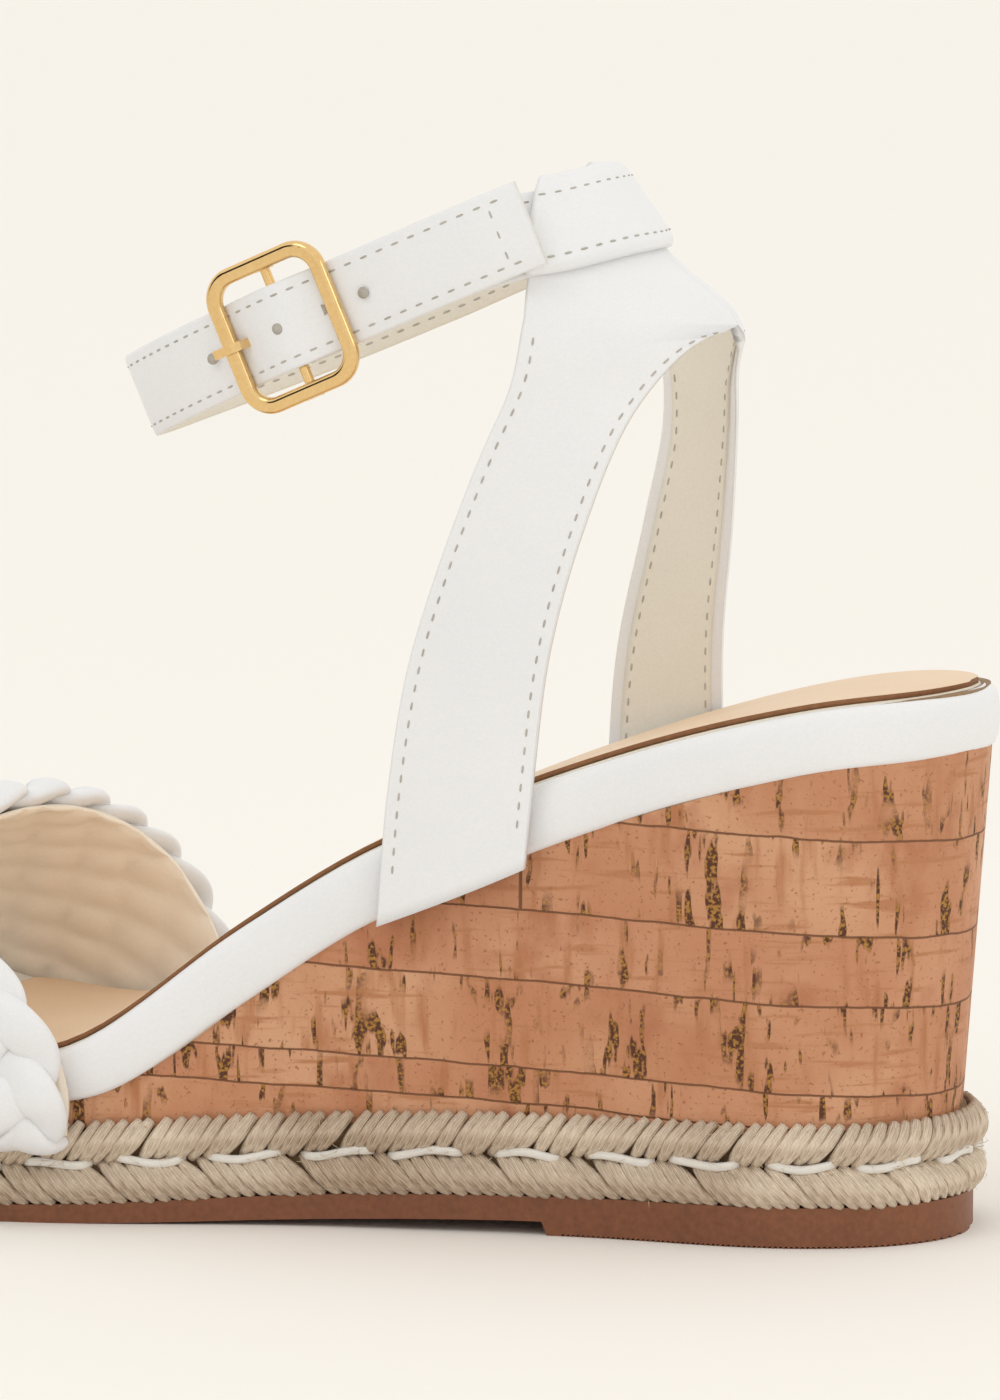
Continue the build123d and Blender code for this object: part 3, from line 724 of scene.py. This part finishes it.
# ---- Quarter ----
# Two white leather legs that rise from under the platform band and join behind the ankle. The leather is
# turned over round its edge on to a cream lining and stitched; the legs are lasted under the platform.
cream = leather_material("cream_lining", linear(226, 221, 208), linear(240, 236, 226), 0.65)
# Painted shade: the grey of the needle-hole dashes and of the strap's punched holes stands for the shade in
# the holes.
needle_hole_shade = textured("needle_hole_shade", linear(164, 158, 148), linear(196, 190, 180), 0.9, 900)
# The oval that the straps lie on, by height: its middle's X, half its length and half its width.
ANKLE = [(46, -48, 110, 32.5), (100, -48, 62, 30), (143, -47, 40.3, 28.3), (157, -47, 37.3, 27.4),
         (168, -50, 27.5, 25), (183, -54, 20, 20.5), (192, -56, 16, 18)]
ANKLE_FOOT = 46
ANKLE_RISE = 137
# Edges of the two legs as (X, Z), from the foot to the tunnel's mouth and to the arch behind the ankle.
MOUTH_X = -37.8
BACK_ARCH = 155.6
MOUTH_TOP = 180.6
BACK_TOP = 183.2
LATERAL_FRONT = [(-61.9, 53.2), (-60.4, 76), (-57.3, 97), (-52, 115), (-44.9, 134), (-39.7, 146.5),
                 (MOUTH_X, 158)]
LATERAL_REAR = [(-35.9, 64), (-34.6, 81), (-32.4, 101), (-27.2, 122), (-19.4, 142.7), (-10.7, 153.6),
                (-5.5, BACK_ARCH)]
MEDIAL_FRONT = [(-38.9, 64), (-36.5, 95), (-31.1, 119), (-27, 138), (-28, 152), (-33, 163), (MOUTH_X, 168)]
MEDIAL_REAR = [(-16.8, 70), (-16.4, 98), (-13.9, 118), (-11.5, 138), (-9.5, 150), (-5.5, BACK_ARCH)]
LEG_ROWS = 44
TOP_ROWS = 14
# How far the faces of the leather and of the lining lie outside the ankle's oval.
LEATHER_OUT, LEATHER_IN = 1.75, 0.05
LINING_OUT, LINING_IN = 0.6, -0.25
DASH_LENGTH = 1.35
DASH_RADII = [(0.1, 0.05), (0.19, 0.1), (0.19, 0.1), (0.1, 0.05)]
leg_edges = {
    -1: (through(LATERAL_FRONT, LEG_ROWS), through(LATERAL_REAR, LEG_ROWS)),
    1: (through(MEDIAL_FRONT, LEG_ROWS), through(MEDIAL_REAR, LEG_ROWS)),
}


def ankle_oval(z, grow):
    """Middle, half length and half width of the ankle's oval at a height, grown by grow."""
    middle, length, width = (smooth([(a[0], a[k]) for a in ANKLE], z) for k in (1, 2, 3))
    return middle, length + grow, width + grow


def ankle_point(z, turn, side, grow):
    """Point of the ankle surface grown by grow; turn is 0 at the back and pi at the front."""
    middle, length, width = ankle_oval(z, grow)
    y = -1 + (z - ANKLE_FOOT) / ANKLE_RISE
    return Vector((middle + length * math.cos(turn), y + side * width * math.sin(turn), z))


def turn_at(x, z, grow):
    """Turn of the ankle surface, grown by grow, at an X."""
    middle, length, width = ankle_oval(z, grow)
    return math.acos(min(max((x - middle) / length, -1), 1))


def quarter_point(side, row, across, grow):
    """Point of one half of the quarter: row from 0 at the foot, across from 0 in front to 1 behind."""
    front, rear = leg_edges[side]
    last = LEG_ROWS - 1
    if row <= last:
        k = min(int(row), last - 1)
        first = front[k].lerp(front[k + 1], row - k)
        second = rear[k].lerp(rear[k + 1], row - k)
        z_front, z_back = first.y, second.y
        turn_front = turn_at(first.x, z_front, grow)
        turn_back = turn_at(second.x, z_back, grow)
    else:
        share = (row - last) / TOP_ROWS
        z_front = front[last].y + (MOUTH_TOP - front[last].y) * share
        z_back = BACK_ARCH + (BACK_TOP - BACK_ARCH) * share
        turn_front = turn_at(MOUTH_X, z_front, grow)
        turn_back = 0.0
    z = z_front + (z_back - z_front) * across
    return ankle_point(z, turn_front + (turn_back - turn_front) * across, side, grow)


def span(side, row):
    """Width of the quarter's half along a row."""
    return (quarter_point(side, row, 0.5, 1) - quarter_point(side, row, 0, 1)).length * 2


def sheet_between(points, faces, outer, inner):
    """Add a solid sheet between two grids of the same shape to a mesh being built."""
    base = len(points)
    for grid in (outer, inner):
        for line in grid:
            points.extend(line)
    faces += sheet_faces(len(outer), len(outer[0]), base)


def stitch_row(points, faces, uvs, path, normals, pitch=3.1):
    """Add needle-hole dashes at an even pitch along a path on a surface."""
    run = run_along(path)
    count = int(run[-1] / pitch)
    k = 0
    for number in range(count):
        k, share = spot_on(run, (number + 0.5) * run[-1] / count, k)
        centre = path[k].lerp(path[k + 1], share)
        normal = normals[k].lerp(normals[k + 1], share).normalized()
        way = (path[k + 1] - path[k]).normalized()
        line = [centre + way * (DASH_LENGTH * (u - 0.5)) for u in (0, 0.25, 0.75, 1)]
        tube(points, faces, uvs, line, 6, DASH_RADII, [way.cross(normal)] * 4)


rows = LEG_ROWS + TOP_ROWS
leather = ([], [])
lining = ([], [])
quarter_dashes = ([], [], [])
for side in (-1, 1):
    leather_rows = []
    lining_rows = []
    for row in range(rows):
        leather_rows.append((row, [eased(k, 15) for k in range(15)]))
    for row in range(2, rows - 1):
        inset = min(2.0 / span(side, row), 0.3)
        end = 1 - inset if row < LEG_ROWS + 1 else 1.0
        lining_rows.append((row, [inset + (end - inset) * k / 12 for k in range(13)]))
    for sheet, places, faces_at in (
        (leather, leather_rows, (LEATHER_OUT, LEATHER_IN)),
        (lining, lining_rows, (LINING_OUT, LINING_IN)),
    ):
        # The inner side's rows run the other way, so that the leather's outside faces out there too.
        outer, inner = ([[quarter_point(side, row, u, grow) for u in columns[::-side]]
                         for row, columns in places] for grow in faces_at)
        sheet_between(*sheet, outer, inner)
    for behind in (False, True):
        for grow, away in ((1.78, 2.3), (-0.28, 3.2)):
            path = []
            normals = []
            for row in range(3, LEG_ROWS - 1):
                inset = away / span(side, row)
                across = 1 - inset if behind else inset
                here = quarter_point(side, row, across, grow)
                path.append(here)
                normals.append((quarter_point(side, row, across, grow + 1) - here) * (1 if grow > 0 else -1))
            stitch_row(*quarter_dashes, path, normals)
quarter_leather = add_object("quarter_leather", *leather, [white])
quarter_cream = add_object("quarter_cream", *lining, [cream])
quarter_seam = add_tubes("quarter_seam", quarter_dashes, needle_hole_shade)
for piece, slot in ((quarter_leather, "white_leather"), (quarter_cream, "cream_lining"),
                    (quarter_seam, "white_leather")):
    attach(piece, "upper_and_sole")
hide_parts("quarter_outer")
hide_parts("quarter_lining")

# ---- Tunnel cuff ----
# The quarter's top edge is turned outwards and stitched down, and the ankle strap runs through it.
TOP_EDGE = [(-60, MOUTH_TOP), (MOUTH_X, MOUTH_TOP), (-20, BACK_TOP), (5, BACK_TOP)]
FOLD_EDGE = [(-60, 165.4), (MOUTH_X, 165.4), (-24, 169.6), (5, 170)]
CUFF_MIDDLE = 176
CUFF_STEPS = 61
CUFF_THICKNESS = 0.8
# Out from the ankle's oval, share of the way from the lower edge to the top edge, and up.
CUFF_PROFILE = [(1.0, 1.0, -0.6), (1.8, 1.0, 0.4), (3.0, 1.0, 0.6), (4.2, 1.0, 0.2), (4.7, 0.92, 0.0),
                (4.75, 0.75, 0.0), (4.7, 0.5, 0.0), (4.7, 0.25, 0.0), (4.5, 0.12, 0.0), (4.0, 0.04, 0.0),
                (3.0, 0.0, -0.2), (2.0, 0.0, 0.0), (1.6, 0.0, 0.8)]


def cuff_point(share, grow, up, lift):
    """Point of the cuff: share from 0 at the outer mouth round the back to 1 at the inner mouth."""
    away = abs(1 - 2 * share)
    side = -1 if share < 0.5 else 1
    guess = ankle_point(CUFF_MIDDLE, turn_at(MOUTH_X, CUFF_MIDDLE, grow) * away, side, grow)
    low = smooth(FOLD_EDGE, guess.x)
    high = smooth(TOP_EDGE, guess.x)
    z = low + (high - low) * up + lift
    return ankle_point(z, turn_at(MOUTH_X, z, grow) * away, side, grow)


cuff_shares = [step / (CUFF_STEPS - 1) for step in range(CUFF_STEPS)]
cuff_points = [cuff_point(share, *entry) for share in cuff_shares for entry in CUFF_PROFILE]
cuff = add_object("cuff", cuff_points, grid_faces(CUFF_STEPS, len(CUFF_PROFILE)), [white])
cuff_thick = cuff.modifiers.new("thickness", "SOLIDIFY")
cuff_thick.thickness = CUFF_THICKNESS * MM
cuff_thick.offset = 0
cuff_dashes = ([], [], [])
for up, grow in ((0.86, 5.2), (0.15, 5.1)):
    path = [cuff_point(share, grow, up, 0) for share in cuff_shares]
    normals = [cuff_point(share, grow + 1, up, 0) - here for share, here in zip(cuff_shares, path)]
    stitch_row(*cuff_dashes, path, normals)
cuff_seam = add_tubes("cuff_seam", cuff_dashes, needle_hole_shade)
for piece in (cuff, cuff_seam):
    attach(piece, "upper_and_sole")
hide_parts("tunnel_cuff")

# ---- Ankle strap ----
# One long white strap with a cream inner side. It leaves the buckle's centre bar, runs back through the
# tunnel and round the front of the ankle, and passes through the buckle; its free end lies outside.
TILT = math.radians(23)
STRAP_WAY = Vector((math.cos(TILT), 0, math.sin(TILT)))
STRAP_UP = Vector((-math.sin(TILT), 0, math.cos(TILT)))
SWING = Vector((-48, 0, 169.3))
BUCKLE_AT = Vector((-35.3, -24.8))
BUCKLE_ALONG = Vector((0.979, -0.204))
BUCKLE_OUT = Vector((-0.204, -0.979))
STRAP_WIDE = 15.0
STRAP_THICK = 1.6
SEAM_IN = 1.9
STRAP_PITCH = 3.0
# The strap's section, as shares of its width and thickness.
STRAP_SECTION = [(-0.5, -0.30), (-0.47, -0.5), (0, -0.5), (0.47, -0.5), (0.5, -0.30), (0.5, 0.0),
                 (0.5, 0.34), (0.47, 0.5), (0.22, 0.53), (0, 0.54), (-0.22, 0.53), (-0.47, 0.5),
                 (-0.5, 0.34), (-0.5, 0.0)]
CREAM_SIDES = (0, 1, 2, 3, 13)


def at_buckle(along, out):
    """Point of the strap's plane, along the strap and outwards from the buckle's middle."""
    return BUCKLE_AT + BUCKLE_ALONG * along + BUCKLE_OUT * out


def in_plane(place):
    """Point of the strap's plane as a point of the frame."""
    return SWING + STRAP_WAY * place[0] + Vector((0, 1, 0)) * place[1]


CHAPE = [at_buckle(1.2, 0), at_buckle(6, -1.7), at_buckle(12, -2.2), (-12, -26.6), (-1, -26.3), (6, -25.1)]
LOOP = [(7.5, 24.6), (-1, 26.2), (-22, 27.8), (-45, 23.5), (-63, 12), (-72.5, 0), (-66, -9),
        (-57, -16.5), at_buckle(-12, 0), at_buckle(-6, 2.1), at_buckle(0, 3.8), at_buckle(6, 2.1),
        at_buckle(11.4, 0.3)]
TAIL = [at_buckle(10.6, 0.5), (-16.6, -28.5), (-12, -29.2), (-6, -29.8), (4, -30.2), (12.7, -29.3)]


def strap_mesh(name, centres, ups, count):
    """Strap along centres whose width points along ups: a white outer side and a cream inner side."""
    joined = through([tuple(c) + tuple(u) for c, u in zip(centres, ups)], count)
    line = [Vector(item[:3]) for item in joined]
    points = []
    frames = []
    for i, item in enumerate(joined):
        way = heading(line, i)
        up = Vector(item[3:]).normalized()
        up = (up - way * up.dot(way)).normalized()
        out = way.cross(up)
        frames.append((line[i], up, out))
        for across, deep in STRAP_SECTION:
            points.append(line[i] + up * (across * STRAP_WIDE) + out * (deep * STRAP_THICK))
    size = len(STRAP_SECTION)
    faces = grid_faces(count, size, wrap_columns=True)
    indices = [1 if k in CREAM_SIDES else 0 for i in range(count - 1) for k in range(size)]
    faces.append(tuple(reversed(range(size))))
    faces.append(tuple((count - 1) * size + k for k in range(size)))
    indices += [1, 1]
    return add_object(name, points, faces, [white, cream], indices), frames


def strap_seams(dashes, frames):
    """Add two rows of stitching on the outer and on the inner side of a strap."""
    for edge in (-1, 1):
        for face in (-1, 1):
            path = [here + up * (edge * (STRAP_WIDE / 2 - SEAM_IN)) + out * (face * STRAP_THICK * 0.52)
                    for here, up, out in frames]
            stitch_row(*dashes, path, [out * face for here, up, out in frames], STRAP_PITCH)


tunnel_centres = []
tunnel_ups = []
for step in range(9):
    share = 0.06 + 0.88 * step / 8
    middle = cuff_point(share, 2.8, 0.45, 0)
    tunnel_centres.append(middle)
    tunnel_ups.append((cuff_point(share, 2.8, 0.9, 0) - cuff_point(share, 2.8, 0.1, 0)).normalized())
centres = [in_plane(p) for p in CHAPE[:-1]] + tunnel_centres + [in_plane(p) for p in LOOP[1:]]
ups = [STRAP_UP] * (len(CHAPE) - 1) + tunnel_ups + [STRAP_UP] * (len(LOOP) - 1)
tail_centres = [in_plane(p) for p in TAIL]
main_strap, main_frames = strap_mesh("main_strap", centres, ups, 260)
tail_strap, tail_frames = strap_mesh("strap_end_piece", tail_centres, [STRAP_UP] * len(TAIL), 40)
main_dashes = ([], [], [])
tail_dashes = ([], [], [])
strap_seams(main_dashes, main_frames)
strap_seams(tail_dashes, tail_frames[:-3])
# The row across the free end.
here, up, out = tail_frames[-7]
end_path = [here + up * (5.6 * (1 - 2 * k / 8)) + out * 0.84 for k in range(9)]
stitch_row(*tail_dashes, end_path, [out] * 9, STRAP_PITCH)
main_stitches = add_tubes("main_strap_stitches", main_dashes, needle_hole_shade)
tail_stitches = add_tubes("strap_end_stitches", tail_dashes, needle_hole_shade)
for piece in (main_strap, main_stitches):
    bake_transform(piece)
for piece in (tail_strap, tail_stitches):
    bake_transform(piece)
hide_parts("strap_loop", "strap_loop_lining", "strap_rear", "strap_chape")
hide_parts("strap_tail", "strap_tail_lining")

# Punched holes of the strap as grey discs of painted shade, and the chape's turn round the buckle's centre
# bar.
HOLE_RADIUS = 1.0
EYE_RADIUS = 1.75
holes = ([], [], [])
out_way = Vector((0, 1, 0)) * BUCKLE_OUT.y + STRAP_WAY * BUCKLE_OUT.x
for along, out in ((-16.4, -0.3), (0.0, 3.8), (8.2, 1.4), (16.4, 0.6)):
    centre = in_plane(at_buckle(along, out)) + out_way * 0.84
    path = [centre - out_way * 0.3, centre + out_way * 0.03]
    tube(*holes, path, 16, [(HOLE_RADIUS, HOLE_RADIUS)] * 2, [STRAP_UP] * 2)
strap_holes = add_tubes("strap_holes", holes, needle_hole_shade)
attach(strap_holes, "ankle_strap")
eye_turns = ([], [], [])
bar = in_plane(at_buckle(0, 0.9))
for low, high in ((-7.0, -1.2), (1.2, 7.0)):
    path = [bar + STRAP_UP * low, bar + STRAP_UP * high]
    tube(*eye_turns, path, 20, [(EYE_RADIUS, EYE_RADIUS)] * 2, [out_way] * 2)
chape_eye = add_tubes("chape_eye", eye_turns, white)
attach(chape_eye, "ankle_strap")

# ---- Buckle and prong ----
# A rounded square frame with a centre bar and a bent wire prong, all in polished pale gold plating.
gold = textured("gold", linear(224, 184, 122), linear(238, 204, 148), 0.10, 1400, bump=0.02, depth=0.01,
                metallic=1.0)
dress("buckle_frame", gold)
dress("buckle_prong", gold)

# ---- Vamp ----
# Five padded leather strands plaited flat over a beige lining. The strap arches across the toes, and
# both its ends go down outside the platform band and are lasted under it.
# X of the strap's rear and front edges, by share of the way from the outer foot to the inner foot.
VAMP_REAR = [(0, -115), (0.08, -113), (0.13, -117), (0.2, -128), (0.3, -137), (0.42, -142), (0.5, -139.5),
             (0.58, -133), (0.68, -125), (0.78, -117.5), (0.86, -111.5), (0.93, -110), (1, -111)]
VAMP_FRONT = [(0, -152), (0.15, -157), (0.3, -168), (0.45, -177), (0.55, -177), (0.7, -168), (0.85, -155),
              (0.93, -148), (1, -146)]
# How steeply the strap drops to the front, and the heights between which that sets in.
DROP = 0.357
DROP_FROM = 22
DROP_OVER = 25
DROP_X = -137
ARCH_HALF = 47.5
ARCH_SPRING = 27
ARCH_TOP = 72.5
ARCH_SHIFT = 2.2


def arch_path(shrink, count):
    """The vamp's arch seen from behind: (y, z) from the outer foot to the inner foot."""
    half = ARCH_HALF - shrink
    high = ARCH_TOP - ARCH_SPRING - shrink
    path = [(-half + 7.0, 15.0), (-half + 1.6, 15.8), (-half, 20.0)]
    for k in range(13):
        turn = math.pi * (1 - k / 12)
        path.append((half * math.cos(turn), ARCH_SPRING + high * math.sin(turn)))
    path += [(half, 20.0), (half - 1.6, 15.8), (half - 7.0, 15.0)]
    return [Vector((p.x - ARCH_SHIFT, p.y)) for p in through(path, count)]


def arch_point(path, place, across):
    """Point and outward normal: place counted in path points, across from -1 behind to 1 in front."""
    k = min(max(int(place), 0), len(path) - 2)
    share = min(max(place - k, 0), 1)
    spot = path[k].lerp(path[k + 1], share)
    way = (path[min(k + 2, len(path) - 1)] - path[max(k - 1, 0)]).normalized()
    level = spot.y
    steep = DROP * min(max((level - DROP_FROM) / DROP_OVER, 0), 1)
    ends = []
    for curve in (VAMP_REAR, VAMP_FRONT):
        x = smooth(curve, (k + share) / (len(path) - 1))
        ends.append(Vector((x, spot.x, level + (x - DROP_X) * steep)))
    here = ends[0].lerp(ends[1], (across + 1) / 2)
    normal = Vector((0, -way.y, way.x))
    return here, normal


plait_path = arch_path(1.9, 241)
plait_run = run_along(plait_path)[-1]
strands = ([], [], [])
STRANDS = 5
STRAND_WIDE = 4.7
STRAND_DEEP = 1.9
PERIOD = 50.0
STATIONS = 150
for strand in range(STRANDS):
    path = []
    normals = []
    radii = []
    for step in range(STATIONS):
        place = step / (STATIONS - 1) * (len(plait_path) - 1)
        run = plait_run * step / (STATIONS - 1)
        phase = 2 * math.pi * (run / PERIOD + strand / STRANDS + 0.1)
        edge = 0.80 * math.cos(phase)
        here, normal = arch_point(plait_path, place, edge)
        path.append(here + normal * (1.25 * math.sin(4 * phase)))
        normals.append(normal)
        squeeze = 1 - 0.12 * abs(math.cos(phase)) ** 4
        radii.append((STRAND_WIDE * squeeze, STRAND_DEEP))
    across = [heading(path, i).cross(normals[i]).normalized() for i in range(STATIONS)]
    tube(*strands, path, 12, radii, across)
plait = add_tubes("plaited_strap", strands, white, subdivide=1)
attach(plait, "upper_and_sole")
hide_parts("vamp_plait")
vamp_beige = leather_material("vamp_beige", linear(244, 228, 206), linear(251, 241, 226), 0.6)
LINING_STEPS = 121
LINING_COLUMNS = 29
lining_outer = []
lining_inner = []
outer_path = arch_path(5.1, LINING_STEPS)
inner_path = arch_path(5.9, LINING_STEPS)
for step in range(LINING_STEPS):
    outer_line = []
    inner_line = []
    for k in range(LINING_COLUMNS):
        edge = -0.93 + 1.86 * k / (LINING_COLUMNS - 1)
        outer_line.append(arch_point(outer_path, step, edge)[0])
        here, normal = arch_point(inner_path, step, edge)
        weave = abs(math.cos(step * 0.36 + edge * 6.2) * math.cos(step * 0.36 - edge * 6.2)) ** 0.5
        inner_line.append(here - normal * (1.3 * weave - 0.6))
    lining_outer.append(outer_line)
    lining_inner.append(inner_line)
vamp_sheet = ([], [])
sheet_between(*vamp_sheet, lining_outer, lining_inner)
vamp_inside = add_object("vamp_beige_lining", *vamp_sheet, [vamp_beige])
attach(vamp_inside, "upper_and_sole")
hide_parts("vamp_lining")
